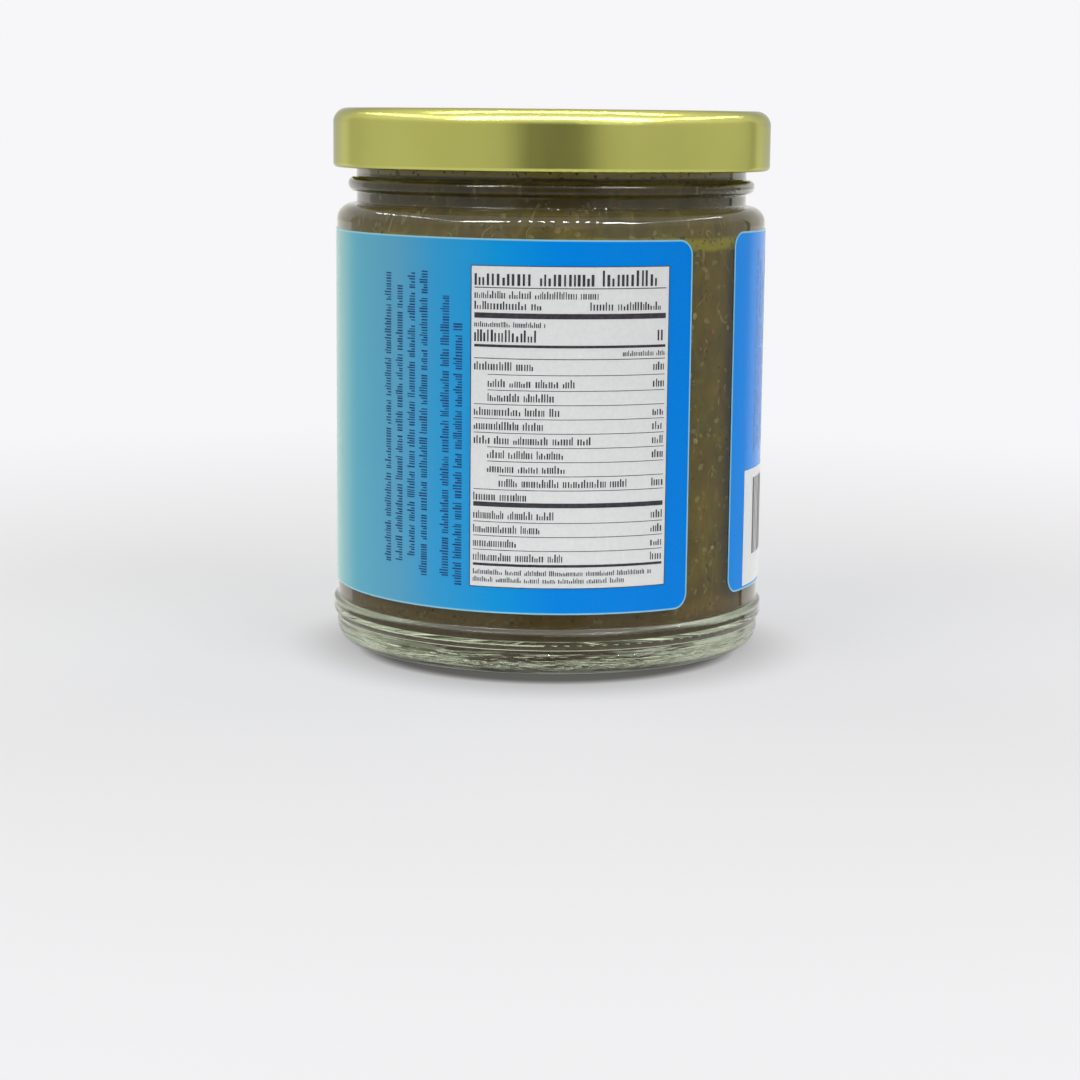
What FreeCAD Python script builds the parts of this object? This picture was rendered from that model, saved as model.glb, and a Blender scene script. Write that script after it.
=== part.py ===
"""A 9 oz straight-sided glass jar of chutney with a 70 mm lug cap and a wrap-round label.

Own frame: millimetres, +Z up, origin at the centre of the ring that the jar stands on.
Angles are measured about +Z from the front (-Y), towards +X.
"""
import FreeCAD, Part
import math
import os
from FreeCAD import Vector

# ---- glass: body ----------------------------------------------------------
body_diameter = 73.0         # straight label panel
glass_height = 89.5          # standing ring to rim
wall_thickness = 2.9
floor_height = 4.9           # inside floor at the wall, above the standing ring
floor_crown = 0.5            # rise of the inside floor at the centre
floor_crown_radius = 14.0    # flat middle of the inside floor
floor_corner_radius = 5.0
heel_radius = 2.6            # outside corner at the bottom
push_up_height = 2.0         # hollow under the base, at the centre
push_up_radius = 16.0        # flat middle of the hollow
push_up_edge_height = 1.2
base_blend_radius = 20.0     # between the flat middles and the slopes round them
bearing_width = 1.6          # flat ring that the jar stands on
push_up_slope_width = 2.4

# ---- glass: contact ring above the heel ----------------------------------
ring_bottom = 4.3
ring_height = 3.5
ring_proud = 0.62
ring_flank = 0.75            # height of its sloping sides
ring_corner_radius = 0.9

# ---- glass: shoulder and finish ------------------------------------------
shoulder_step = 3.35         # body radius less neck radius
shoulder_radius = 2.9
neck_corner_radius = 0.4
inner_shoulder_start = 4.3   # below the top of the shoulder, inside
inner_shoulder_end = 0.1
inner_shoulder_radius = 5.5
finish_wall = 2.3            # glass thickness at the mouth
rim_radius = 0.8
cap_to_bead = 1.6            # bottom of the cap to the transfer bead
bead_height = 2.3
neck_below_bead = 2.05       # bead to top of shoulder
bead_depth = 1.4
bead_corner_radius = 1.0

# ---- glass: lug threads ---------------------------------------------------
thread_count = 4
thread_depth = 1.35
thread_root_height = 2.2
thread_tip_height = 1.0
thread_bite = 0.3            # how far its root runs into the wall
thread_angle = 72.0
thread_rise = 2.0            # from its low end to its high end
thread_run_out = 0.22        # share of its length that tapers, at each end
thread_start_angle = 8.0
thread_sections = 11

# ---- cap ------------------------------------------------------------------
steel = 0.22
skirt_clearance = 2.35       # thread tip to inside of the skirt
cap_corner_radius = 2.4
panel_depth = 1.1            # centre panel below the raised outer ring
panel_edge_gap = 1.2         # panel edge inside the mouth of the glass
panel_slope_width = 1.2
panel_corner_radius = 0.7
skirt_drop = 8.85            # rim to the bottom of the cap
curl_radius = 0.75
curl_overlap = 0.85          # how far the rolled edge comes back to the skirt
lug_angle = 15.0
lug_height = 1.1
lug_lift = 0.1               # lug above the bottom of the curl
lug_bite = 0.75              # lug tip inside the thread tip
lug_corner_radius = 0.4
lug_lead_angle = 18.0        # from the thread's low end to the lug
lug_clearance = 0.1          # lug top to the underside of the thread

# ---- seal, filling and label ---------------------------------------------
seal_thickness = 0.83
seal_inset = 0.45            # from the edge of the cap's centre panel
seal_corner_radius = 0.3
headspace = 5.5              # rim to the chutney
fill_clearance = 0.05
fill_edge_radius = 1.2
label_gap_start = 38.5       # right-hand end of the front part of the label
label_gap_angle = 16.8
label_bottom_margin = 2.35   # above the contact ring
label_top_margin = 1.65      # below the shoulder's curve
label_corner_radius = 2.6
label_paper = 0.1
label_clearance = 0.02
label_creep = 0.95           # how much higher its other end lies

# ---- worked out from the above -------------------------------------------
body_radius = body_diameter / 2
neck_radius = body_radius - shoulder_step
mouth_radius = neck_radius - finish_wall
inner_radius = body_radius - wall_thickness
thread_radius = neck_radius + thread_depth
ring_top = ring_bottom + ring_height
cap_radius = thread_radius + skirt_clearance + steel
cap_top = glass_height + seal_thickness + steel
cap_bottom = glass_height - skirt_drop
bead_top = cap_bottom - cap_to_bead
bead_bottom = bead_top - bead_height
shoulder_top = bead_bottom - neck_below_bead
lug_top = cap_bottom + lug_lift + lug_height
lug_tip_radius = thread_radius - lug_bite
thread_root_radius = neck_radius - thread_bite
bite_share = (lug_tip_radius - thread_root_radius) / (thread_radius - thread_root_radius)
thread_underside = (
    thread_root_height + (thread_tip_height - thread_root_height) * bite_share
) / 2                        # below the thread's middle, where the lug's tip meets it
thread_climb = thread_rise / thread_angle
thread_low = lug_top + lug_clearance + thread_underside - thread_climb * lug_lead_angle
fill_level = glass_height - headspace

QUARTER_ARC_PULL = 0.5523    # a cubic curve with this pull follows a quarter circle


def on_section(point):
    """A point of a section, given as radius and height, in the XZ plane."""
    return Vector(point[0], 0, point[1])


def rounded_edges(corners, closed=False):
    """Straight edges with tangent arcs at the corners, each given as radius, height, round.

    Where two arcs don't fit on the edge between them, both get smaller.
    """
    points = [on_section(corner) for corner in corners]
    count = len(points)
    spans = count if closed else count - 1
    runs = [points[(i + 1) % count] - points[i] for i in range(spans)]
    lengths = [run.Length for run in runs]
    ways = [run.normalize() for run in runs]
    bends = range(count) if closed else range(1, count - 1)
    half_turn = {i: ways[i - 1].getAngle(ways[i]) / 2 for i in bends}
    wanted = [0.0] * count
    for i in bends:
        wanted[i] = corners[i][2] * math.tan(half_turn[i])
    reach = list(wanted)
    for i in range(spans):
        j = (i + 1) % count
        share = lengths[i] / max(lengths[i], wanted[i] + wanted[j])
        reach[i] = min(reach[i], wanted[i] * share)
        reach[j] = min(reach[j], wanted[j] * share)

    def arc_start(i):
        return points[i] - ways[i - 1] * reach[i] if reach[i] else points[i]

    def arc_end(i):
        return points[i] + ways[i] * reach[i] if reach[i] else points[i]

    edges = []
    for i in range(count):
        if reach[i]:
            inward = (ways[i] - ways[i - 1]).normalize()
            radius = reach[i] / math.tan(half_turn[i])
            middle = points[i] + inward * (radius / math.cos(half_turn[i]) - radius)
            edges.append(Part.Arc(arc_start(i), middle, arc_end(i)).toShape())
        if i < spans:
            following = arc_start((i + 1) % count)
            if arc_end(i).distanceToPoint(following) > 1e-6:
                edges.append(Part.LineSegment(arc_end(i), following).toShape())
    return edges


def turned(edges, angle=360.0):
    """The solid swept by a closed section turned about the Z axis."""
    face = Part.Face(Part.Wire(edges))
    return face.revolve(Vector(0, 0, 0), Vector(0, 0, 1), angle)


def at_angle(shape, angle):
    """A shape that starts in the XZ plane, turned to an angle counted from the front."""
    placed = shape.copy()
    placed.rotate(Vector(0, 0, 0), Vector(0, 0, 1), angle - 90)
    return placed


def one_solid(shape):
    """The single solid of a boolean result, with its split faces joined."""
    solids = shape.removeSplitter().Solids
    if len(solids) != 1:
        raise ValueError("expected one solid, got %d" % len(solids))
    return solids[0]


# ---- glass ----------------------------------------------------------------
def inner_corners(gap=0.0):
    """Inside of the jar from the mouth's neck down to the floor, moved in by a gap."""
    return [
        (mouth_radius - gap, shoulder_top - inner_shoulder_end, inner_shoulder_radius),
        (inner_radius - gap, shoulder_top - inner_shoulder_start, inner_shoulder_radius),
        (inner_radius - gap, floor_height + gap, floor_corner_radius),
        (floor_crown_radius, floor_height + floor_crown + gap, base_blend_radius),
        (0, floor_height + floor_crown + gap, 0),
    ]


def jar_blank():
    """The turned glass: base, heel, contact ring, panel, shoulder, bead and rim."""
    bearing_edge = body_radius - heel_radius - bearing_width
    ring_radius = body_radius + ring_proud
    bead_radius = neck_radius + bead_depth
    underside = [
        (0, push_up_height, 0),
        (push_up_radius, push_up_height, base_blend_radius),
        (bearing_edge - push_up_slope_width, push_up_edge_height, 1.0),
        (bearing_edge, 0, 0.5),
        (body_radius, 0, heel_radius),
    ]
    contact_ring = [
        (body_radius, ring_bottom, 0.5),
        (ring_radius, ring_bottom + ring_flank, ring_corner_radius),
        (ring_radius, ring_top - ring_flank, ring_corner_radius),
        (body_radius, ring_top, 0.5),
    ]
    shoulder = [
        (body_radius, shoulder_top, shoulder_radius),
        (neck_radius, shoulder_top, neck_corner_radius),
    ]
    transfer_bead = [
        (neck_radius, bead_bottom, 0.3),
        (bead_radius, bead_bottom, bead_corner_radius),
        (bead_radius, bead_top, bead_corner_radius),
        (neck_radius, bead_top, 0.3),
    ]
    rim = [
        (neck_radius, glass_height, rim_radius),
        (mouth_radius, glass_height, rim_radius),
    ]
    outline = underside + contact_ring + shoulder + transfer_bead + rim + inner_corners()
    edges = rounded_edges(outline)
    top_of_floor = on_section((0, floor_height + floor_crown))
    axis = Part.LineSegment(top_of_floor, on_section((0, push_up_height))).toShape()
    return turned(edges + [axis])


def thread_section(share):
    """Section of a thread, at a share of its length from the low end."""
    swell = min(1.0, share / thread_run_out, (1 - share) / thread_run_out)
    swell = 0.5 - 0.5 * math.cos(math.pi * swell)
    tip_radius = neck_radius + 0.05 + (thread_depth - 0.05) * swell
    middle = thread_low + thread_rise * share
    root = thread_root_height / 2
    tip = thread_tip_height / 2
    corners = [
        (thread_root_radius, middle - root, 0),
        (tip_radius, middle - tip, 0.3),
        (tip_radius, middle + tip, 0.3),
        (thread_root_radius, middle + root, 0),
    ]
    return Part.Wire(rounded_edges(corners, closed=True))


def thread(start_angle):
    """One lug thread: a rib that climbs round the finish and runs out at both ends."""
    sections = []
    for i in range(thread_sections):
        share = i / (thread_sections - 1)
        sections.append(at_angle(thread_section(share), start_angle + thread_angle * share))
    return Part.makeLoft(sections, True)


def lug_angles():
    """Where each lug of the cap starts, just past the low end of its thread."""
    pitch = 360.0 / thread_count
    return [thread_start_angle + lug_lead_angle + i * pitch for i in range(thread_count)]


def make_jar_glass():
    threads = [thread(angle - lug_lead_angle) for angle in lug_angles()]
    return one_solid(jar_blank().fuse(threads))


# ---- cap ------------------------------------------------------------------
def sheet_section(corners, thickness):
    """Closed section of a bent sheet, given along its outer face, thick to the right."""
    points = [on_section(corner) for corner in corners]
    count = len(points)
    along = [(points[i + 1] - points[i]).normalize() for i in range(count - 1)]
    aside = [Vector(step.z, 0, -step.x) for step in along]
    inner = []
    for i in range(count):
        first = aside[max(i - 1, 0)]
        second = aside[min(i, count - 2)]
        shift = (first + second) * (thickness / (1 + first.dot(second)))
        moved = points[i] + shift
        turn = along[max(i - 1, 0)].cross(along[min(i, count - 2)]).y
        bend = corners[i][2] - thickness if turn > 0 else corners[i][2] + thickness
        inner.append((moved.x, moved.z, max(bend, 0.05) if turn else 0))
    outer_edges = rounded_edges(corners)
    inner_edges = rounded_edges(list(reversed(inner)))
    tail = Part.LineSegment(points[-1], on_section(inner[-1])).toShape()
    head = Part.LineSegment(on_section(inner[0]), points[0]).toShape()
    return outer_edges + [tail] + inner_edges + [head]


def cap_shell():
    """The pressed steel cap: sunk centre panel, raised ring, skirt and rolled edge."""
    panel_radius = mouth_radius - panel_edge_gap
    curl_inside = cap_radius - 2 * curl_radius
    curl_top = cap_bottom + 2 * curl_radius
    outer = [
        (0, cap_top - panel_depth, 0),
        (panel_radius, cap_top - panel_depth, panel_corner_radius),
        (panel_radius + panel_slope_width, cap_top, panel_corner_radius),
        (cap_radius, cap_top, cap_corner_radius),
        (cap_radius, cap_bottom, curl_radius),
        (curl_inside, cap_bottom, curl_radius),
        (curl_inside, curl_top, curl_radius),
        (curl_inside + curl_overlap, curl_top, 0),
    ]
    return turned(sheet_section(outer, steel))


def cap_lug(start_angle):
    """One lug, where the rolled edge is pressed flat and in under a thread."""
    root = cap_radius - curl_radius
    bottom = cap_bottom + lug_lift
    corners = [
        (root, bottom, 0),
        (root, lug_top, 0),
        (lug_tip_radius, lug_top, lug_corner_radius),
        (lug_tip_radius, bottom, lug_corner_radius),
    ]
    bar = turned(rounded_edges(corners, closed=True), lug_angle)
    return at_angle(bar, start_angle)


def make_lid():
    lugs = [cap_lug(angle) for angle in lug_angles()]
    return one_solid(cap_shell().fuse(lugs))


def make_lid_seal():
    """The compound ring in the cap's channel, which the rim presses into."""
    inside = mouth_radius - panel_edge_gap + panel_slope_width + seal_inset
    outside = cap_radius - cap_corner_radius
    corners = [
        (inside, glass_height, seal_corner_radius),
        (outside, glass_height, seal_corner_radius),
        (outside, glass_height + seal_thickness, 0),
        (inside, glass_height + seal_thickness, 0),
    ]
    return turned(rounded_edges(corners, closed=True))


# ---- chutney --------------------------------------------------------------
def make_chutney():
    """The filling, from the floor of the jar to its level in the neck."""
    floor_centre = floor_height + floor_crown + fill_clearance
    outline = [(0, fill_level, 0)]
    outline.append((mouth_radius - fill_clearance, fill_level, fill_edge_radius))
    outline += inner_corners(fill_clearance)
    axis = Part.LineSegment(on_section((0, floor_centre)), on_section((0, fill_level)))
    return turned(rounded_edges(outline) + [axis.toShape()])


# ---- label ----------------------------------------------------------------
def wrapped_outline(surface, length, height, corner, climb):
    """A rectangle with round corners laid on a cylinder, its start higher by the climb."""
    def place(along, up):
        return FreeCAD.Base.Vector2d(along / surface.Radius, up + climb * (1 - along / length))

    far, high = length - corner, height - corner
    sides = [
        ((corner, 0), (far, 0)),
        ((length, corner), (length, high)),
        ((far, height), (corner, height)),
        ((0, high), (0, corner)),
    ]
    tips = [(length, 0), (length, height), (0, height), (0, 0)]
    edges = []
    for i, (start, end) in enumerate(sides):
        side = Part.Geom2d.Line2dSegment(place(*start), place(*end))
        edges.append(side.toShape(surface))
        following = sides[(i + 1) % 4][0]
        tip = tips[i]
        pulls = [
            (x + (tip[0] - x) * QUARTER_ARC_PULL, y + (tip[1] - y) * QUARTER_ARC_PULL)
            for x, y in (end, following)
        ]
        bend = Part.Geom2d.BezierCurve2d()
        bend.setPoles([place(*end), place(*pulls[0]), place(*pulls[1]), place(*following)])
        edges.append(bend.toShape(surface))
    return Part.Wire(edges)


def make_label():
    """The label, wrapped round the panel from one end of its gap to the other."""
    surface = Part.Cylinder()
    surface.Radius = body_radius + label_clearance
    length = surface.Radius * math.radians(360 - label_gap_angle)
    bottom = ring_top + label_bottom_margin
    height = shoulder_top - shoulder_radius - label_top_margin - bottom
    outline = wrapped_outline(surface, length, height, label_corner_radius, label_creep)
    sheet = Part.Face(surface, outline)
    label = sheet.makeOffsetShape(label_paper, 1e-4, fill=True).Solids[0]
    label.translate(Vector(0, 0, bottom))
    return at_angle(label, label_gap_start + label_gap_angle)


def main():
    os.makedirs("parts", exist_ok=True)
    nodes = {
        "jar_glass": make_jar_glass(),
        "chutney": make_chutney(),
        "lid": make_lid(),
        "lid_seal": make_lid_seal(),
        "label": make_label(),
    }
    for name, shape in nodes.items():
        shape.exportStep("parts/%s.step" % name)
        box = shape.BoundBox
        print("%-10s %9.1f mm3  z %.2f to %.2f" % (name, shape.Volume, box.ZMin, box.ZMax))


main()
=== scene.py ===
"""Looks for the chutney jar: a filled glass jar with a gold lug cap and a wrap-round label."""

import math

import bpy
import numpy as np
from mathutils import Matrix, Vector


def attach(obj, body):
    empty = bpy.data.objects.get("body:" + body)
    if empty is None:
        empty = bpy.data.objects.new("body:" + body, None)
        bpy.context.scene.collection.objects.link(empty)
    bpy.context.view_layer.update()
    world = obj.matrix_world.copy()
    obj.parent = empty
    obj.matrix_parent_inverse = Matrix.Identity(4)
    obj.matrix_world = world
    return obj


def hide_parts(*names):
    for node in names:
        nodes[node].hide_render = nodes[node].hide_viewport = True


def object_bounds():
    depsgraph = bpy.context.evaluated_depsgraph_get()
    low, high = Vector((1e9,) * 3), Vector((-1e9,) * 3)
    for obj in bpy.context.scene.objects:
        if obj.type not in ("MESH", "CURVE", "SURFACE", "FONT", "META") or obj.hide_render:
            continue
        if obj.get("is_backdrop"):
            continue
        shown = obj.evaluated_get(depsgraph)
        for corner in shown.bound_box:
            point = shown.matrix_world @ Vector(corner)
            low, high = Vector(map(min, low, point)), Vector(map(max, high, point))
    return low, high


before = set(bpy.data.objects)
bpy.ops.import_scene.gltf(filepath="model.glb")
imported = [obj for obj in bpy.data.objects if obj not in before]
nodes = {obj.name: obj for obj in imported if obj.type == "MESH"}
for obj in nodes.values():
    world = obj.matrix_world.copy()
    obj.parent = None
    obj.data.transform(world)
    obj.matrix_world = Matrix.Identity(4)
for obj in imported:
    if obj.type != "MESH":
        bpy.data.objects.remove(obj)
CAD_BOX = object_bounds()

MM = 0.001
TO_DEGREES = 180 / math.pi

# ---------------------------------------------------------------- sizes, in mm, as in the CAD
INNER_R = 33.6                # inside of the body
FLOOR_Z = 4.9                 # top of the glass floor at the wall
FLOOR_CROWN = 0.5             # how far the floor rises in the middle
MOUTH_R = 30.85               # inside of the neck
SHOULDER_IN = (74.6, 70.4)    # inside of the shoulder: its top and bottom
FILL_Z = 84.0                 # level of the chutney
LABEL_R = 36.62               # the label's printed face
LABEL_LOW = 10.15             # bottom of the label at its low end
LABEL_H = 60.0                # height of the label
LABEL_FROM, LABEL_TO = 55.3, 398.5   # its ends, in degrees from the front, going round by the right
LABEL_CREEP = 0.95            # how much higher the label's first end is
LABEL_CORNER = 2.6            # radius of its corners


# ---------------------------------------------------------------- camera
def add_camera():
    """A camera at the photograph's angle: level with the cap and looking a little down."""
    pitch, yaw, roll = math.radians(9.299), math.radians(-0.172), math.radians(0.583)
    spot = (0, -0.44244, 0.08891)
    level = Vector((math.sin(yaw), math.cos(yaw), 0))
    forward = math.cos(pitch) * level + Vector((0, 0, -math.sin(pitch)))
    right = Vector((math.cos(yaw), -math.sin(yaw), 0))
    down = -math.sin(pitch) * level + Vector((0, 0, -math.cos(pitch)))
    x = math.cos(roll) * right - math.sin(roll) * down
    y = -(math.sin(roll) * right + math.cos(roll) * down)
    data = bpy.data.cameras.new("camera")
    data.lens, data.sensor_width = 85.65, 36.0
    data.clip_start, data.clip_end = 0.01, 20
    camera = bpy.data.objects.new("camera", data)
    turn = Matrix((x, y, -forward)).transposed()
    camera.matrix_world = Matrix.Translation(spot) @ turn.to_4x4()
    bpy.context.scene.collection.objects.link(camera)
    bpy.context.scene.camera = camera


# ---------------------------------------------------------------- node helpers
class Nodes:
    """Short calls for building a node tree."""

    def __init__(self, tree):
        self.tree = tree
        tree.nodes.clear()

    def add(self, kind, inputs=None, **settings):
        node = self.tree.nodes.new(kind)
        for name, value in settings.items():
            setattr(node, name, value)
        for name, value in (inputs or {}).items():
            self.put(node.inputs[name], value)
        return node

    def put(self, socket, value):
        if isinstance(value, bpy.types.NodeSocket):
            self.tree.links.new(value, socket)
        else:
            socket.default_value = value

    def math(self, operation, *values):
        node = self.add("ShaderNodeMath", operation=operation)
        for socket, value in zip(node.inputs, values):
            self.put(socket, value)
        return node.outputs[0]

    def step(self, value, low, high, to_low=0.0, to_high=1.0):
        """Runs smoothly from to_low to to_high as value goes from low to high."""
        node = self.add("ShaderNodeMapRange", interpolation_type="SMOOTHSTEP")
        for socket, v in zip(node.inputs, (value, low, high, to_low, to_high)):
            self.put(socket, v)
        return node.outputs[0]

    def length(self, x, y):
        """The length of the vector (x, y)."""
        squares = self.math("MULTIPLY", x, x), self.math("MULTIPLY", y, y)
        return self.math("SQRT", self.math("ADD", *squares))

    def ramp(self, factor, stops):
        """A colour ramp; stops are (place, colour)."""
        node = self.add("ShaderNodeValToRGB")
        node.color_ramp.interpolation = "LINEAR"
        elements = node.color_ramp.elements
        while len(elements) < len(stops):
            elements.new(1.0)
        for element, (place, colour) in zip(elements, stops):
            element.position = place
            element.color = colour if len(colour) == 4 else (*colour, 1)
        self.put(node.inputs[0], factor)
        return node.outputs[0]

    def mix(self, factor, a, b):
        """The colour a, turning to b as the factor goes to 1."""
        node = self.add("ShaderNodeMix", data_type="RGBA", blend_type="MIX")
        self.put(node.inputs[0], factor)
        self.put(node.inputs[6], a)
        self.put(node.inputs[7], b)
        return node.outputs[2]

    def mix_shaders(self, factor, a, b):
        node = self.add("ShaderNodeMixShader")
        for socket, value in zip(node.inputs, (factor, a, b)):
            self.put(socket, value)
        return node.outputs[0]

    def glow(self, colour, strength=1.0):
        return self.add("ShaderNodeEmission", {"Color": colour, "Strength": strength}).outputs[0]

    def noise(self, at, scale, detail=4.0, roughness=0.55, distortion=0.0):
        node = self.add("ShaderNodeTexNoise", {"Vector": at, "Scale": scale, "Detail": detail,
                                               "Roughness": roughness, "Distortion": distortion})
        return node.outputs["Fac"]

    def bump(self, height, strength, distance):
        node = self.add("ShaderNodeBump", {"Strength": strength, "Distance": distance, "Height": height})
        return node.outputs["Normal"]

    def place(self):
        """The point on the piece, in the CAD frame, in metres."""
        return self.add("ShaderNodeTexCoord").outputs["Object"]

    def split(self, vector):
        return self.add("ShaderNodeSeparateXYZ", {"Vector": vector}).outputs

    def height_mm(self, split):
        return self.math("MULTIPLY", split[2], 1000.0)

    def around(self, split):
        """Degrees from the front, positive to the right."""
        angle = self.math("ARCTAN2", split[0], self.math("MULTIPLY", split[1], -1.0))
        return self.math("MULTIPLY", angle, TO_DEGREES)


def rgb(r, g, b):
    """A linear colour from 0-255 sRGB values."""
    def one(v):
        v /= 255
        return v / 12.92 if v <= 0.04045 else ((v + 0.055) / 1.055) ** 2.4
    return (one(r), one(g), one(b), 1)


def grey(v):
    return (v, v, v, 1)


def material(name):
    made = bpy.data.materials.new(name)
    made.use_nodes = True
    return made, Nodes(made.node_tree)


def finish_material(n, shader, volume=None):
    out = n.add("ShaderNodeOutputMaterial")
    n.put(out.inputs["Surface"], shader)
    if volume is not None:
        n.put(out.inputs["Volume"], volume)


# ---------------------------------------------------------------- stage and light
BACKGROUND = rgb(247, 246, 248)


def add_world():
    """White for the camera and through glass. In gloss it is a soft-box tent: pale sides, a bright back
    wall, and a dim opening in front, where the camera stands."""
    world = bpy.data.worlds.new("tent")
    bpy.context.scene.world = world
    world.use_nodes = True
    n = Nodes(world.node_tree)
    split = n.split(n.add("ShaderNodeTexCoord").outputs["Generated"])
    share = n.math("ADD", n.math("DIVIDE", n.around(split), 360.0), 0.5)
    height = n.math("MULTIPLY", n.math("ARCSINE", split[2]), TO_DEGREES)
    # how bright the wall is, by degrees from the front
    walls = [(-134, 1.0), (-132, .50), (-118, .50), (-75, .49), (-42, .455), (-24, .43), (-12, .14),
             (16, .14), (27, .41), (45, .45), (62, .43), (90, .48), (118, .51), (128.5, .50),
             (129.5, .08), (132, .08), (133, 1.0)]
    warmth = 0.96
    tent = n.ramp(share, [(a / 360 + 0.5, (v, v, v * warmth)) for a, v in walls])
    # the back wall is a little dimmer above the horizon
    behind = n.step(n.math("ABSOLUTE", n.around(split)), 125.0, 136.0)
    dimmer = n.math("MULTIPLY", behind, n.step(height, -3.0, 0.5, 0, 0.2))
    tent = n.mix(dimmer, tent, grey(0.0))
    roof, ground = grey(0.66), grey(0.6)
    tent = n.mix(n.step(height, 9.0, 20.0), tent, roof)
    tent = n.mix(n.step(height, -14.0, -24.0), tent, ground)
    path = n.add("ShaderNodeLightPath")
    plain = n.math("MAXIMUM", path.outputs["Is Camera Ray"], path.outputs["Is Transmission Ray"])
    colour = n.mix(plain, tent, BACKGROUND)
    back = n.add("ShaderNodeBackground", {"Color": colour, "Strength": 1.0})
    out = n.add("ShaderNodeOutputWorld")
    n.put(out.inputs["Surface"], back.outputs[0])
    world.cycles_visibility.diffuse = False


def add_floor():
    """A plain pale floor that keeps the jar's shadow, with a painted shadow close round it, and fades into
    the backdrop.
    """
    half = 9
    mesh = bpy.data.meshes.new("floor")
    mesh.from_pydata([(-half, -half, 0), (half, -half, 0), (half, half, 0), (-half, half, 0)], [],
                     [(0, 1, 2, 3)])
    floor = bpy.data.objects.new("floor", mesh)
    bpy.context.scene.collection.objects.link(floor)
    made, n = material("floor")
    # distances here are in metres from the jar's axis
    split = n.split(n.place())
    far = n.length(split[0], split[1])
    path = n.add("ShaderNodeLightPath").outputs
    speckle = n.noise(n.place(), 900.0, 2.0)
    colour = n.ramp(speckle, [(0.3, (0.690, 0.685, 0.690)), (0.7, (0.710, 0.705, 0.710))])
    lit = n.add("ShaderNodeBsdfPrincipled", {"Base Color": colour, "Roughness": 0.6,
                                             "Specular IOR Level": 0.2}).outputs[0]
    backdrop = n.glow(BACKGROUND)
    # painted shade: a glow fills in the jar's own shade beside it, and a dark painted shadow lies close
    # round it, darkest just in front, where hardly any light gets in
    painted_fill_glow, dark = n.glow((0.73, 0.73, 0.74, 1)), n.glow((0.034, 0.032, 0.024, 1))
    near = n.mix_shaders(0.7, lit, painted_fill_glow)
    to_front = 0.010
    reach = n.length(split[0], n.math("ADD", split[1], to_front))
    depth = n.math("MAXIMUM", n.step(reach, 0.0285, 0.0350, 0.88, 0.0),
                   n.step(reach, 0.029, 0.047, 0.34, 0.0))
    near = n.mix_shaders(depth, near, dark)
    # painted light: through the glass the floor glows as backdrop close to the jar and under it, except
    # where the jar stands
    seen = n.math("MAXIMUM", n.step(far, 0.0300, 0.0312, 0.85, 0.0), n.step(far, 0.0355, 0.0375, 0.0, 0.85))
    through = n.math("MULTIPLY", path["Is Transmission Ray"], seen)
    near = n.mix_shaders(n.math("MAXIMUM", n.step(far, 0.05, 0.34), through), near, backdrop)
    # other rays meet a small floor; under the thick glass base it glows as backdrop for matt surfaces, a
    # painted light
    cut = n.math("MULTIPLY", n.step(far, 0.045, 0.06), path["Is Glossy Ray"])
    clear = n.add("ShaderNodeBsdfTransparent").outputs[0]
    other = n.mix_shaders(n.math("MAXIMUM", n.step(far, 0.16, 0.26), cut), lit, clear)
    under = n.math("MULTIPLY", n.step(far, 0.0335, 0.0315), path["Is Diffuse Ray"])
    other = n.mix_shaders(under, other, backdrop)
    straight = n.math("MAXIMUM", path["Is Camera Ray"], path["Is Transmission Ray"])
    finish_material(n, n.mix_shaders(straight, other, near))
    mesh.materials.append(made)
    floor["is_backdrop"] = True


def add_lamp(name, azimuth, elevation, distance, size, watts):
    """A soft panel lamp that lights matt surfaces and isn't mirrored in gloss."""
    data = bpy.data.lights.new(name, "AREA")
    data.shape, data.size, data.energy = "SQUARE", size, watts
    lamp = bpy.data.objects.new(name, data)
    a, e = math.radians(azimuth), math.radians(elevation)
    way = Vector((math.sin(a) * math.cos(e), -math.cos(a) * math.cos(e), math.sin(e)))
    aim = Vector((0, 0, 0.045))
    lamp.location = aim + way * distance
    lamp.rotation_euler = way.to_track_quat("Z", "Y").to_euler()
    lamp.visible_camera = lamp.visible_glossy = lamp.visible_transmission = False
    bpy.context.scene.collection.objects.link(lamp)


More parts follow.
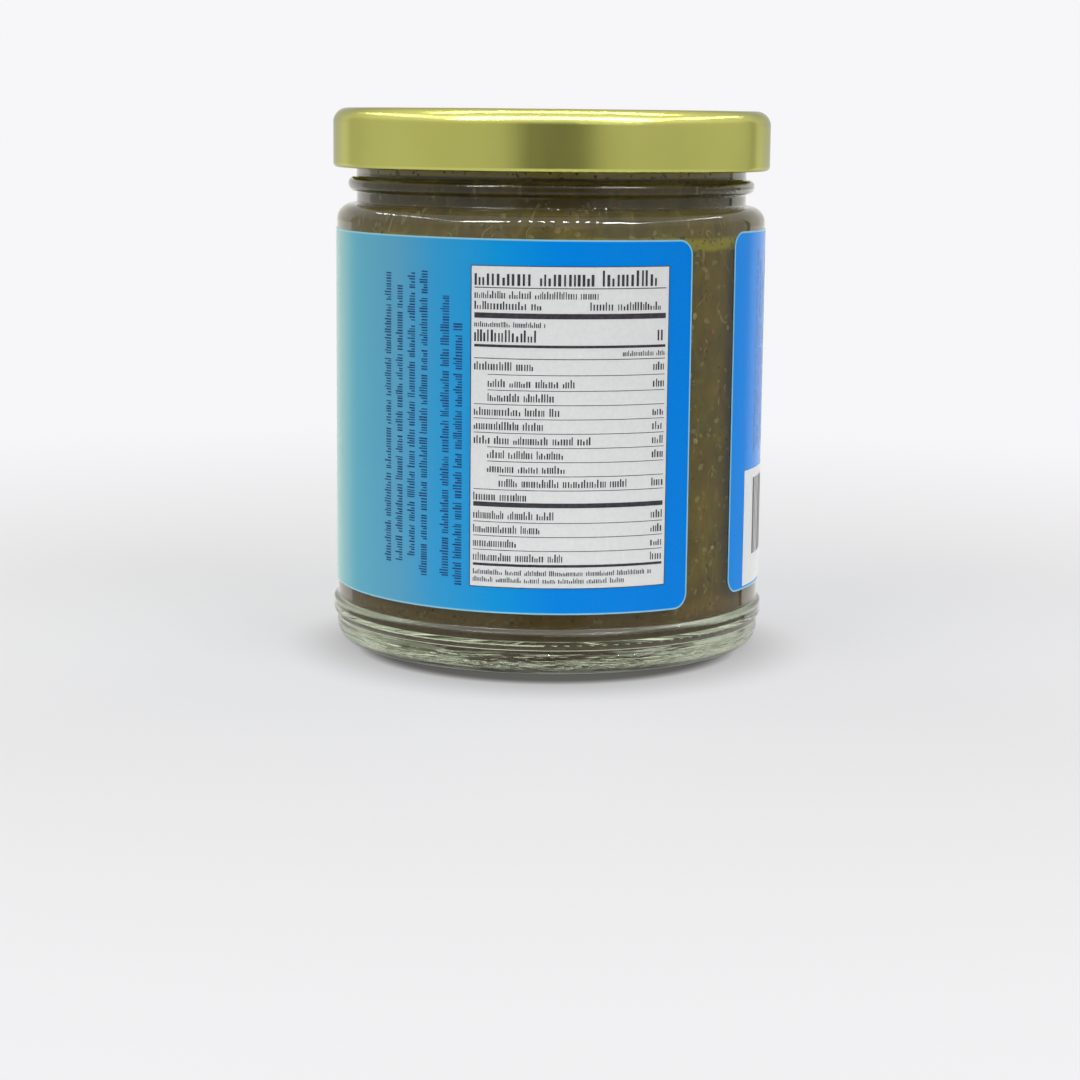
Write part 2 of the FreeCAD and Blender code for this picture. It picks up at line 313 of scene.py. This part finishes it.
def add_strips():
    """Small bright lamps under the tent's roof, which show only in gloss: a row with a bar at each end in
    front, one bar overhead and a strip along each side."""
    quads = []

    def quad(x0, x1, y0, y1, z, tilt=0.0):
        drop = math.tan(tilt) * (y1 - y0) / 2
        quads.append([(x0, y0, z - drop), (x1, y0, z - drop), (x1, y1, z + drop), (x0, y1, z + drop)])

    tilt = math.radians(45)
    front, back, roof, side = -0.34, 0.36, 0.415, 0.42
    lamps, first, pitch = 9, -0.161, 0.0428
    half_wide, half_deep, bar_half, strip_half = 0.006, 0.020, 0.016, 0.003
    for k in range(lamps):
        x = first + pitch * k
        quad(x - half_wide, x + half_wide, front - half_deep, front + half_deep, roof, tilt)
    for x0, x1 in ((-side, -0.186), (0.206, side)):
        quad(x0, x1, front - bar_half, front + bar_half, roof, tilt)
    quad(-0.22, 0.22, 0.032, 0.039, roof)
    for x in (-side, side):
        quad(x - strip_half, x + strip_half, front, back, roof)
    mesh = bpy.data.meshes.new("tent_strips")
    verts = [v for q in quads for v in q]
    mesh.from_pydata(verts, [], [tuple(range(4 * i, 4 * i + 4)) for i in range(len(quads))])
    strips = bpy.data.objects.new("tent_strips", mesh)
    bpy.context.scene.collection.objects.link(strips)
    made, n = material("tent_strips")
    finish_material(n, n.glow((1, 0.99, 0.97, 1), 40.0))
    mesh.materials.append(made)
    strips.visible_camera = strips.visible_diffuse = strips.visible_shadow = False
    strips.visible_transmission = False
    strips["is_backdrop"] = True


# ---------------------------------------------------------------- mesh helpers
def add_mesh(name, verts, faces, made):
    mesh = bpy.data.meshes.new(name)
    mesh.from_pydata([tuple(v) for v in verts], [], [tuple(f) for f in faces])
    mesh.update()
    mesh.polygons.foreach_set("use_smooth", [True] * len(mesh.polygons))
    mesh.materials.append(made)
    piece = bpy.data.objects.new(name, mesh)
    bpy.context.scene.collection.objects.link(piece)
    return piece


def rounded(points, radii, steps=8):
    """An open line of (r, z) points with its inner corners rounded."""
    out = [np.array(points[0], float)]
    for before, corner, after, radius in zip(points, points[1:], points[2:], radii):
        b, c, a = (np.array(p, float) for p in (before, corner, after))
        u, v = (b - c) / np.linalg.norm(b - c), (a - c) / np.linalg.norm(a - c)
        half = math.acos(np.clip(u @ v, -1, 1)) / 2
        back = radius / math.tan(half)
        middle = c + (u + v) / np.linalg.norm(u + v) * radius / math.sin(half)
        start, end = c + u * back - middle, c + v * back - middle
        turn = math.pi - 2 * half
        for k in range(steps + 1):
            t = k / steps
            w = (math.sin((1 - t) * turn) * start + math.sin(t * turn) * end) / math.sin(turn)
            out.append(middle + w)
    out.append(np.array(points[-1], float))
    return out


def resampled(line, pitch):
    """The same line with points at about the same pitch."""
    line = np.array(line)
    run = np.r_[0, np.cumsum(np.linalg.norm(np.diff(line, axis=0), axis=1))]
    at = np.linspace(0, run[-1], int(round(run[-1] / pitch)) + 1)
    return np.stack([np.interp(at, run, line[:, k]) for k in (0, 1)], -1)


def lattice_noise(points, pitch, seed):
    """Smooth random values at 3-D points (n, 3), about -1 to 1, on a lattice of that pitch."""
    size = 64
    g = np.random.default_rng(seed).uniform(-1, 1, (size, size, size))
    p = points / pitch
    i = np.floor(p).astype(int)
    f = p - i
    f = f * f * (3 - 2 * f)
    total = 0
    for corner in range(8):
        d = np.array([corner & 1, corner >> 1 & 1, corner >> 2 & 1])
        w = np.prod(np.where(d, f, 1 - f), axis=1)
        j = (i + d) % size
        total = total + w * g[j[:, 0], j[:, 1], j[:, 2]]
    return total


def on_round(radius, degrees, z):
    """A point at an angle from the front, in metres."""
    a = math.radians(degrees)
    return (radius * math.sin(a) * MM, -radius * math.cos(a) * MM, z * MM)


# ---------------------------------------------------------------- chutney
INTO_WALL = 0.3               # how far its outline lies inside the glass
CORE_PITCH, CORE_AROUND = 0.9, 220   # mm between the core's points up its side, and points round it
UNEVEN = 1.5                  # how far below its level the top starts to heap up and sink


def chutney_line():
    """The chutney's outline from the middle of its base to the middle of its top, just inside the wall."""
    r, g = INNER_R + INTO_WALL, INTO_WALL
    return rounded(
        [(0, FLOOR_Z + FLOOR_CROWN - g), (14, FLOOR_Z + FLOOR_CROWN - g), (r, FLOOR_Z - g),
         (r, SHOULDER_IN[1] + g * 0.4), (MOUTH_R + g, SHOULDER_IN[0]), (MOUTH_R + g, FILL_Z), (0, FILL_Z)],
        [40, 5.2, 5.8, 5.2, 0.9])


def with_painted_shade(n, z_mm, colour):
    """The colour with painted shade: darker at the heel, in the shoulder and beside the bead."""
    stops = [(5.5, .66), (8, .8), (9.5, .97), (13, 1), (70.8, 1), (72.6, .76), (74.6, .45), (76, .36),
             (77, .62), (78.7, .62), (79.1, .3), (79.5, .3), (79.8, 1), (84, 1)]
    light = n.ramp(n.math("DIVIDE", z_mm, 100.0), [(z / 100, (v, v, v)) for z, v in stops])
    return n.mix(light, grey(0.0), colour)


def add_chutney():
    """The chutney's core: a solid of revolution with an uneven skin and top, just filling the glass."""
    made, n = material("chutney")
    at = n.place()
    z_mm = n.height_mm(n.split(at))
    tall = n.add("ShaderNodeMapping", {"Vector": at, "Scale": (1.0, 1.0, 0.35)}).outputs[0]
    broad = n.noise(at, 150.0, 2.0, 0.5, 0.6)
    soft = n.noise(tall, 430.0, 3.0, 0.5, 0.8)
    colour = n.ramp(broad, [(0.30, rgb(72, 59, 8)), (0.50, rgb(84, 70, 10)), (0.70, rgb(94, 79, 15))])
    colour = n.mix(n.step(soft, 0.50, 0.74, 0, 0.5), colour, rgb(112, 98, 44))
    colour = n.mix(n.step(soft, 0.46, 0.26, 0, 0.5), colour, rgb(58, 48, 12))
    green = n.noise(at, 210.0, 2.0, 0.5, 1.0)
    colour = n.mix(n.step(green, 0.56, 0.72, 0, 0.4), colour, rgb(80, 82, 20))
    colour = n.mix(n.step(z_mm, 12.5, 9.0, 0, 0.6), colour, rgb(106, 82, 34))
    # painted light: a lighter, yellower band just under the shoulder, where light comes in through it
    wobble = n.math("MULTIPLY_ADD", n.noise(at, 120.0, 2.0), 1.6, -0.8)
    level = n.math("ADD", z_mm, wobble)
    painted_light_band = n.math("MULTIPLY", n.step(level, 67.8, 68.7), n.step(level, 70.6, 69.8))
    colour = n.mix(n.math("MULTIPLY", painted_light_band, 0.85), colour, rgb(128, 119, 16))
    # painted shade: darker at the heel, round the shoulder and beside the bead
    colour = with_painted_shade(n, z_mm, colour)
    # painted light: lighter just under the cap, and pale on the underside, where it shows through the base,
    # standing in for light the glass gathers
    colour = n.mix(n.step(z_mm, 79.5, 79.9), colour, rgb(152, 138, 66))
    pale = n.mix(n.step(broad, 0.40, 0.60), rgb(160, 165, 138), rgb(242, 248, 236))
    colour = n.mix(n.step(z_mm, 5.02, 4.93), colour, pale)
    shader = n.add("ShaderNodeBsdfPrincipled", {"Base Color": colour, "Roughness": 0.55,
                                                "Specular IOR Level": 0.15})
    n.put(shader.inputs["Normal"], n.bump(n.math("ADD", soft, broad), 0.3, 0.0006))
    finish_material(n, shader.outputs[0])

    line, around = resampled(chutney_line(), CORE_PITCH), CORE_AROUND
    ring = np.array([p for p in line if p[0] > 1e-6])
    t = np.linspace(0, 2 * math.pi, around, endpoint=False)
    rr, tt = np.meshgrid(ring[:, 0], t, indexing="ij")
    zz = np.repeat(ring[:, 1][:, None], around, axis=1)
    points = np.stack([rr * np.sin(tt), -rr * np.cos(tt), zz], -1).reshape(-1, 3)
    lumps = lattice_noise(points, 2.2, 1) * 0.5 + lattice_noise(points, 0.9, 2) * 0.3
    top = np.clip((points[:, 2] - (FILL_Z - UNEVEN)) / UNEVEN, 0, 1)
    outward = points * [1, 1, 0] / np.maximum(np.linalg.norm(points[:, :2], axis=1), 1)[:, None]
    hollow, heap_low, heap_high, settled, crown_drop = 0.12, -1.6, 0.6, 0.5, 0.8
    points = points - outward * (np.abs(lumps) * hollow)[:, None]
    heap = lattice_noise(points, 7.0, 3) * 0.9 + lumps * 0.6
    points[:, 2] += top * np.clip(heap, heap_low, heap_high) - top * settled
    faces = []
    rows = len(ring)
    for i in range(rows - 1):
        for j in range(around):
            k = (j + 1) % around
            faces.append((i * around + j, i * around + k, (i + 1) * around + k, (i + 1) * around + j))
    bottom, crown = len(points), len(points) + 1
    points = np.vstack([points, [0, 0, line[0][1]], [0, 0, FILL_Z - crown_drop]])
    for j in range(around):
        k = (j + 1) % around
        faces.append((bottom, k, j))
        faces.append((crown, (rows - 1) * around + j, (rows - 1) * around + k))
    piece = add_mesh("chutney_fill", points * MM, faces, made)
    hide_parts("chutney")
    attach(piece, "root")


def turned(x, y, angle):
    """The point (x, y) turned about (0, 0)."""
    return x * math.cos(angle) - y * math.sin(angle), x * math.sin(angle) + y * math.cos(angle)


class Bits:
    """Many small pieces of one kind, lying in the chutney's skin against the glass."""

    HIDDEN = (14, 67)             # heights between which the label hides the chutney
    PAST_END = 8                  # degrees that can be seen into behind the label's ends

    def __init__(self, name, colours, seed):
        self.name, self.colours = name, colours
        self.pick = np.random.default_rng(seed)
        self.verts, self.faces = [], []
        line = np.array([p for p in resampled(chutney_line(), 0.5) if p[0] > 30 and p[1] < FILL_Z - 1])
        steps = np.diff(line, axis=0)
        self.line, self.run = line, np.r_[0, np.cumsum(np.linalg.norm(steps, axis=1))]

    def spots(self, count):
        """Random places (run up the skin, angle), leaving out what the label hides."""
        while count:
            run, angle = self.pick.uniform(0, self.run[-1]), self.pick.uniform(-180, 180)
            z = np.interp(run, self.run, self.line[:, 1])
            in_gap = LABEL_TO - 360 - self.PAST_END < angle < LABEL_FROM + self.PAST_END
            if self.HIDDEN[0] < z < self.HIDDEN[1] and not in_gap:
                continue
            count -= 1
            yield run, angle

    def at(self, run, angle, side, up, out):
        """The place that far to the side, up the skin and out of it, from a spot."""
        ahead = 0.3
        r, z = (np.interp(run + up, self.run, self.line[:, k]) for k in (0, 1))
        r2, z2 = (np.interp(run + up + ahead, self.run, self.line[:, k]) for k in (0, 1))
        long = math.hypot(r2 - r, z2 - z) or 1.0
        r, z = r + out * (z2 - z) / long, z - out * (r2 - r) / long
        return on_round(r, angle + math.degrees(side / r), z)

    def flake(self, run, angle, size):
        """A thin domed scrap with an uneven outline."""
        turn, slim = self.pick.uniform(0, math.pi), self.pick.uniform(0.35, 0.9)
        start, corners, dome = len(self.verts), 7, 0.07
        self.verts.append(self.at(run, angle, 0, 0, dome))
        for k in range(corners):
            a = 2 * math.pi * k / corners
            reach = size / 2 * self.pick.uniform(0.7, 1.15)
            x, y = reach * math.cos(a), reach * slim * math.sin(a)
            side, up = turned(x, y, turn)
            self.verts.append(self.at(run, angle, side, up, -dome))
            self.faces.append((start, start + 1 + k, start + 1 + (k + 1) % corners))

    def fibre(self, run, angle, length, width):
        """A bent thread, tapering to both ends."""
        heading = math.pi / 2 + self.pick.normal(0, 0.6)
        bend, side, up, start = self.pick.normal(0, 0.35), 0.0, 0.0, len(self.verts)
        stations, foot, ridge = 9, -0.05, 0.08
        for k in range(stations):
            half = width / 2 * math.sin(math.pi * (k + 0.5) / stations)
            x, y = -math.sin(heading) * half, math.cos(heading) * half
            self.verts += [self.at(run, angle, side + x, up + y, foot),
                           self.at(run, angle, side, up, ridge),
                           self.at(run, angle, side - x, up - y, foot)]
            side += math.cos(heading) * length / stations
            up += math.sin(heading) * length / stations
            heading += bend * self.pick.uniform(0.3, 1.7)
        for k in range(stations - 1):
            i = start + 3 * k
            self.faces += [(i, i + 3, i + 4, i + 1), (i + 1, i + 4, i + 5, i + 2)]

    def seed(self, run, angle, size):
        """A small plump seed, half sunk."""
        turn, start = self.pick.uniform(0, math.pi), len(self.verts)
        around, rings, sunk, plump = 8, 4, 0.15, 0.28
        for i in range(rings + 1):
            tilt = math.pi / 2 * i / rings
            for k in range(around):
                a = 2 * math.pi * k / around
                x = size / 2 * math.cos(a) * math.cos(tilt)
                y = size * 0.36 * math.sin(a) * math.cos(tilt)
                side, up = turned(x, y, turn)
                self.verts.append(self.at(run, angle, side, up, -sunk + plump * math.sin(tilt)))
        for i in range(rings):
            for k in range(around):
                a, b = start + i * around + k, start + i * around + (k + 1) % around
                self.faces.append((a, b, b + around, a + around))

    def done(self):
        made, n = material(self.name)
        low, high = self.colours
        at = n.place()
        patchy = n.noise(at, 420.0, 2.0, 0.5)
        colour = n.ramp(patchy, [(0.35, low), (0.65, high)])
        # painted shade by height, as on the chutney
        colour = with_painted_shade(n, n.height_mm(n.split(at)), colour)
        shader = n.add("ShaderNodeBsdfPrincipled", {"Base Color": colour, "Roughness": 0.5,
                                                    "Specular IOR Level": 0.2})
        n.put(shader.inputs["Normal"], n.bump(n.noise(at, 2500.0, 3.0), 0.3, 0.0002))
        finish_material(n, shader.outputs[0])
        piece = add_mesh(self.name, self.verts, self.faces, made)
        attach(piece, "root")


def add_bits():
    """The herbs, fibres, seeds and chilli that the chutney is made of, where it lies against the glass."""
    herbs = Bits("chutney_herbs", (rgb(54, 48, 12), rgb(82, 78, 24)), 41)
    for run, angle in herbs.spots(2600):
        herbs.flake(run, angle, herbs.pick.uniform(0.3, 1.3))
    pulp = Bits("chutney_pulp", (rgb(96, 84, 34), rgb(118, 102, 54)), 42)
    for run, angle in pulp.spots(900):
        pulp.flake(run, angle, pulp.pick.uniform(0.5, 2.2))
    fibres = Bits("chutney_fibres", (rgb(98, 86, 36), rgb(128, 114, 62)), 43)
    for run, angle in fibres.spots(200):
        fibres.fibre(run, angle, fibres.pick.uniform(1.4, 4.6), fibres.pick.uniform(0.16, 0.34))
    seeds = Bits("chutney_seeds", (rgb(116, 100, 50), rgb(150, 134, 84)), 44)
    for run, angle in seeds.spots(70):
        seeds.seed(run, angle, seeds.pick.uniform(0.8, 1.5))
    chilli = Bits("chutney_chilli", (rgb(112, 52, 14), rgb(140, 74, 20)), 45)
    for run, angle in chilli.spots(80):
        chilli.flake(run, angle, chilli.pick.uniform(0.5, 1.4))
    for kind in (herbs, pulp, fibres, seeds, chilli):
        kind.done()


# ---------------------------------------------------------------- glass
def glass_material():
    """Clear glass, faintly green in its depth, that lets light for matt surfaces straight through."""
    made, n = material("jar_glass")
    at = n.place()
    split = n.split(at)
    z_mm = n.height_mm(split)
    low = n.step(z_mm, 4.4, 3.2)
    waves = n.noise(at, 46.0, 2.0, 0.4)
    # the thick base has fine ripples running round it
    turn = n.add("ShaderNodeCombineXYZ", {"X": n.math("MULTIPLY", n.around(split), 0.05), "Y": z_mm})
    ripples = n.noise(turn.outputs[0], 1.1, 3.0, 0.5, 0.4)
    height = n.math("ADD", n.math("MULTIPLY", waves, 0.10), n.math("MULTIPLY", low, ripples))
    glass = n.add("ShaderNodeBsdfPrincipled", {"IOR": 1.52, "Transmission Weight": 1.0,
                                               "Coat Weight": 0.15, "Coat Roughness": 0.1})
    # painted shade: dark along the very bottom, where it stands
    painted_shade_tint = n.mix(n.step(z_mm, 1.5, 0.8), (0.985, 1.0, 0.985, 1), (0.04, 0.042, 0.03, 1))
    n.put(glass.inputs["Base Color"], painted_shade_tint)
    n.put(glass.inputs["Normal"], n.bump(height, 0.5, 0.0011))
    # worn a little dull where jars rub together, on top of the contact ring
    worn = n.math("MULTIPLY", n.step(z_mm, 6.7, 7.0), n.step(z_mm, 8.5, 8.1))
    n.put(glass.inputs["Roughness"], n.math("MULTIPLY", worn, 0.3))
    shade = n.mix(low, (0.92, 0.93, 0.92, 1), (0.68, 0.69, 0.67, 1))
    clear = n.add("ShaderNodeBsdfTransparent", {"Color": shade})
    path = n.add("ShaderNodeLightPath").outputs
    matt_light = n.math("MAXIMUM", path["Is Shadow Ray"], path["Is Diffuse Ray"])
    surface = n.mix_shaders(matt_light, glass.outputs[0], clear.outputs[0])
    soak = n.add("ShaderNodeVolumeAbsorption", {"Color": (0.85, 0.93, 0.64, 1), "Density": 18.0})
    finish_material(n, surface, soak.outputs[0])
    return made


# ---------------------------------------------------------------- cap
def gold_material():
    """Gold lacquer on tinplate, with fine streaks up the skirt under a thin clear coat."""
    made, n = material("cap_gold")
    at = n.place()
    streaks = n.add("ShaderNodeMapping", {"Vector": at, "Scale": (1.0, 1.0, 0.06)})
    fine = n.noise(streaks.outputs[0], 900.0, 3.0, 0.6)
    broad = n.noise(at, 70.0, 3.0, 0.5)
    colour = n.mix(n.step(broad, 0.35, 0.65), rgb(234, 233, 128), rgb(239, 238, 134))
    rough = n.math("MULTIPLY_ADD", fine, 0.07, 0.19)
    shader = n.add("ShaderNodeBsdfPrincipled", {"Base Color": colour, "Metallic": 1.0, "Roughness": rough,
                                                "Coat Weight": 0.3, "Coat Roughness": 0.14, "Coat IOR": 1.5,
                                                "Specular Tint": (0.42, 0.42, 0.42, 1)})
    height = n.math("ADD", n.math("MULTIPLY", fine, 0.25), n.math("MULTIPLY", broad, 0.35))
    n.put(shader.inputs["Normal"], n.bump(height, 0.08, 0.0004))
    finish_material(n, shader.outputs[0])
    return made


def seal_material():
    """Off-white sealing compound."""
    made, n = material("seal_compound")
    at = n.place()
    grain = n.noise(at, 600.0, 4.0)
    colour = n.ramp(grain, [(0.3, rgb(214, 210, 196)), (0.7, rgb(228, 224, 212))])
    shader = n.add("ShaderNodeBsdfPrincipled", {"Base Color": colour, "Roughness": 0.5})
    n.put(shader.inputs["Normal"], n.bump(grain, 0.2, 0.0003))
    finish_material(n, shader.outputs[0])
    return made


# ---------------------------------------------------------------- label
def rippled(n, at, colour, roughness, specular):
    """A glossy film with faint waves."""
    shader = n.add("ShaderNodeBsdfPrincipled", {"Base Color": colour, "Roughness": roughness, "IOR": 1.5,
                                                "Specular IOR Level": specular})
    n.put(shader.inputs["Normal"], n.bump(n.noise(at, 90.0, 2.0, 0.4), 0.10, 0.0004))
    return shader.outputs[0]


def label_material():
    """Blue at its ends, running to pale green round the back, with a pale line along its edge."""
    made, n = material("label_film")
    at = n.place()
    split = n.split(at)
    z_mm, angle = n.height_mm(split), n.around(split)
    middle_of_gap = (LABEL_TO - 360 + LABEL_FROM) / 2
    turn = n.math("ADD", angle, n.math("MULTIPLY", n.math("LESS_THAN", angle, middle_of_gap), 360.0))
    span = LABEL_TO - LABEL_FROM
    share = n.math("DIVIDE", n.math("SUBTRACT", turn, LABEL_FROM), span)
    shades = [(57, 16, 128, 216), (100, 6, 124, 214), (150, 20, 138, 210), (200, 84, 162, 182),
              (240, 150, 190, 160), (286, 120, 176, 172), (300, 92, 164, 184), (318, 86, 154, 186),
              (330, 52, 148, 198), (346, 14, 140, 206), (362, 0, 124, 212), (398, 0, 120, 212)]
    colour = n.ramp(share, [((degrees - LABEL_FROM) / span, rgb(*shade)) for degrees, *shade in shades])
    rise = n.math("MULTIPLY", n.math("SUBTRACT", 1.0, share), LABEL_CREEP)
    up = n.math("SUBTRACT", n.math("SUBTRACT", z_mm, rise), LABEL_LOW + LABEL_H / 2)
    grain = n.noise(at, 2600.0, 2.0)
    colour = n.mix(n.step(grain, 0.3, 0.7, 0.0, 0.05), colour, rgb(60, 150, 220))
    # distance from the label's rounded edge, in mm, negative inside
    half = math.radians(span) * LABEL_R / 2
    along = n.math("MULTIPLY", n.math("SUBTRACT", share, 0.5), math.radians(span) * LABEL_R)
    qx = n.math("SUBTRACT", n.math("ABSOLUTE", along), half - LABEL_CORNER)
    qy = n.math("SUBTRACT", n.math("ABSOLUTE", up), LABEL_H / 2 - LABEL_CORNER)
    outside = n.length(n.math("MAXIMUM", qx, 0.0), n.math("MAXIMUM", qy, 0.0))
    inside = n.math("MINIMUM", n.math("MAXIMUM", qx, qy), 0.0)
    edge = n.math("SUBTRACT", n.math("ADD", outside, inside), LABEL_CORNER)
    border = n.step(edge, -0.34, -0.16, 0.0, 0.9)
    colour = n.mix(border, colour, rgb(140, 192, 208))
    finish_material(n, rippled(n, at, colour, 0.2, 0.1))
    return made


def ink_material(name, dark, light):
    """Print on the label, unevenly dark on a very small scale."""
    made, n = material(name)
    at = n.place()
    colour = n.ramp(n.noise(at, 1500.0, 3.0), [(0.3, dark), (0.7, light)])
    finish_material(n, rippled(n, at, colour, 0.3, 0.15))
    return made


class Print:
    """Thin patches of ink that follow the label. Places are (degrees from the front, mm up the jar)."""

    def __init__(self, name, made, lift):
        self.name, self.made, self.radius = name, made, LABEL_R + lift
        self.verts, self.faces = [], []

    def patch(self, a0, a1, z0, z1):
        """A curved patch between two angles and two heights."""
        facet = 1.5
        steps = max(1, int(math.ceil(abs(a1 - a0) / facet)))
        start = len(self.verts)
        for k in range(steps + 1):
            a = a0 + (a1 - a0) * k / steps
            self.verts += [on_round(self.radius, a, z0), on_round(self.radius, a, z1)]
        self.faces += [(i, i + 2, i + 3, i + 1) for i in range(start, start + 2 * steps, 2)]

    def strokes(self, length, seed, bold, word):
        """Short upright strokes in runs, as (start, end, top), standing for a line of print."""
        pick = np.random.default_rng(seed)
        at, left = 0.0, pick.integers(*word)
        while True:
            thick = pick.uniform(0.14, 0.24) * bold
            if at + thick > length:
                return
            yield at, at + thick, pick.choice((0.74, 1.0, 0.5), p=(0.62, 0.24, 0.14))
            at += thick + pick.uniform(0.13, 0.25) * bold
            left -= 1
            if left <= 0:
                at += 0.50 * bold
                left = pick.integers(*word)

    def row(self, a0, a1, z0, z1, seed, bold=1.0, word=(6, 20)):
        """A level line of strokes from angle a0 to a1."""
        deg = 180 / (math.pi * self.radius)
        for start, end, top in self.strokes((a1 - a0) / deg, seed, bold, word):
            self.patch(a0 + start * deg, a0 + end * deg, z0, z0 + (z1 - z0) * top)

    def column(self, a, width, z0, z1, seed, bold=1.0, word=(6, 20)):
        """The same, running up the jar, with its foot on the right."""
        wide = math.degrees(width / self.radius)
        for start, end, top in self.strokes(z1 - z0, seed, bold, word):
            self.patch(a + wide * (0.5 - top), a + wide * 0.5, z0 + start, z0 + end)

    def done(self):
        piece = add_mesh(self.name, self.verts, self.faces, self.made)
        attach(piece, "root")


PANEL = (-20.1, 31.3, 14.5, 66.1)   # the white table: left and right degrees, low and high mm


def add_print():
    """A white table with ruled rows, upright columns beside it, and a striped field round the side."""
    white = ink_material("print_white", rgb(208, 210, 210), rgb(214, 216, 215))
    black = ink_material("print_black", rgb(50, 48, 54), rgb(68, 65, 72))
    navy = ink_material("print_navy", rgb(28, 58, 102), rgb(42, 74, 118))
    blue = ink_material("print_blue", rgb(50, 98, 160), rgb(66, 112, 172))
    under, over = 0.02, 0.04      # how far print lies out from the label, in mm
    field = Print("print_white_fields", white, under)
    ink = Print("print_black_rows", black, over)
    left, right, low, high = PANEL
    field.patch(left, right, low, high)
    frame_wide, frame_tall, margin = 0.22, 0.12, 1.0
    for a0, a1 in ((left, left + frame_wide), (right - frame_wide, right)):
        ink.patch(a0, a1, low, high)
    for z0, z1 in ((low, low + frame_tall), (high - frame_tall, high)):
        ink.patch(left, right, z0, z1)
    in_l, in_r = left + margin, right - margin
    figure = in_r - 3.4           # where a figure at the right of a row starts

    def rule(down, thick, a0=in_l, a1=in_r):
        ink.patch(a0, a1, high - down - thick / 2, high - down + thick / 2)

    def words(down, height, a0, a1, seed, **more):
        ink.row(a0, a1, high - down - height / 2, high - down + height / 2, seed, **more)

    # the table from its top down: how far down and how thick or tall, in mm, then angles and seed
    bar, fine, line, hair = 0.42, 0.12, 0.14, 0.10
    words(1.9, 2.5, in_l, in_r - 2.4, 11, bold=2.1, word=(12, 18))
    rule(3.5, line)
    words(4.6, 1.2, in_l, 12.5, 12)
    words(6.3, 1.3, in_l, -2.0, 13, bold=1.2)
    words(6.3, 1.3, 10.0, in_r, 14, bold=1.2)
    rule(7.9, 0.85)
    words(9.3, 0.85, in_l, -1.0, 15, bold=0.8)
    words(11.1, 1.9, in_l, -3.0, 16, bold=1.5, word=(40, 41))
    words(10.7, 2.3, in_r - 2.3, in_r, 17, bold=1.9)
    rule(12.7, bar)
    words(13.8, 0.85, 18.5, in_r, 18, bold=0.8)
    rule(14.7, fine)
    words(15.9, 1.35, in_l, -3.5, 19, bold=1.15)
    words(15.9, 1.3, figure, in_r, 20, bold=1.2)
    # indent, end and right-hand entry of the table's other rows
    pitch = 2.28
    rows = [(3.6, 6.5, True), (3.6, 1.5, False), (0, 2.6, True), (0, -1.0, True), (0, 11.0, True),
            (3.6, 4.0, True), (3.6, 4.5, False), (6.6, 20.5, True), (0, -5.0, False)]
    for k, (inset, end, entry) in enumerate(rows):
        down = 18.6 + pitch * k
        raised = 0.2 if k == 0 else 0
        rule(down - pitch / 2 - raised, hair, in_l + inset)
        words(down, 1.3, in_l + inset, end, 30 + k, bold=1.1)
        if entry:
            words(down, 1.3, figure, in_r, 50 + k, bold=1.2)
    rule(38.1, 0.75)
    for k, end in enumerate([1.5, -2.0, -7.0, 4.0]):
        down = 39.8 + pitch * k
        words(down, 1.3, in_l, end, 70 + k)
        words(down, 1.3, figure, in_r, 80 + k, bold=1.2)
        if k:
            rule(down - pitch / 2, hair)
    rule(47.9, bar)
    words(49.1, 0.85, in_l, in_r - 3.0, 91, bold=0.8)
    words(50.3, 0.85, in_l, 20.0, 92, bold=0.8)

    # upright columns: angle, low end and high end
    columns = Print("print_navy_columns", navy, under)
    for k, (a, z0, z1) in enumerate([(-45.8, 17.0, 65.0), (-41.65, 17.4, 62.5), (-37.5, 18.5, 64.5),
                                     (-33.6, 15.5, 65.0), (-27.25, 15.8, 61.5), (-23.56, 14.5, 57.0)]):
        columns.column(a, 1.6, z0, z1, 100 + k, bold=1.1)
    side = Print("print_blue_columns", blue, under)
    for k in range(7):
        side.column(71.0 + 3.4 * k, 1.4, 34.0 + k % 2, 68.0 - 1.7 * (k % 3), 120 + k)
    # the striped field
    field.patch(63.7, 100.0, 11.6, 31.2)
    pick = np.random.default_rng(7)
    a, stripes_end = 70.6, 96.5
    while a < stripes_end:
        w = pick.choice([0.4, 0.6, 0.9, 1.6])
        ink.patch(a, a + w, 16.5, 29.6)
        a += w + pick.choice([0.45, 0.7, 1.1])
    for printed in (field, ink, columns, side):
        printed.done()


# ---------------------------------------------------------------- build
bpy.context.scene.view_settings.view_transform = "Standard"
add_camera()
add_world()
add_floor()
add_lamp("lamp_top", 0, 88, 0.9, 0.8, 3.0)
for side, turn in (("left", -1), ("right", 1)):
    add_lamp("lamp_front_" + side, 50 * turn, 34, 0.8, 0.6, 5.0)
for side, turn in (("left", -1), ("right", 1)):
    add_lamp("lamp_back_" + side, 135 * turn, 22, 0.8, 0.6, 3.4)
add_strips()
add_chutney()
add_bits()
for node, made in (("jar_glass", glass_material()), ("lid", gold_material()), ("lid_seal", seal_material()),
                   ("label", label_material())):
    for slot in nodes[node].material_slots:
        slot.material = made
add_print()

VISUAL_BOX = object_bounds()


def plain(box):
    return [[float(v) for v in corner] for corner in box]


{"cad": plain(CAD_BOX), "visual": plain(VISUAL_BOX)}
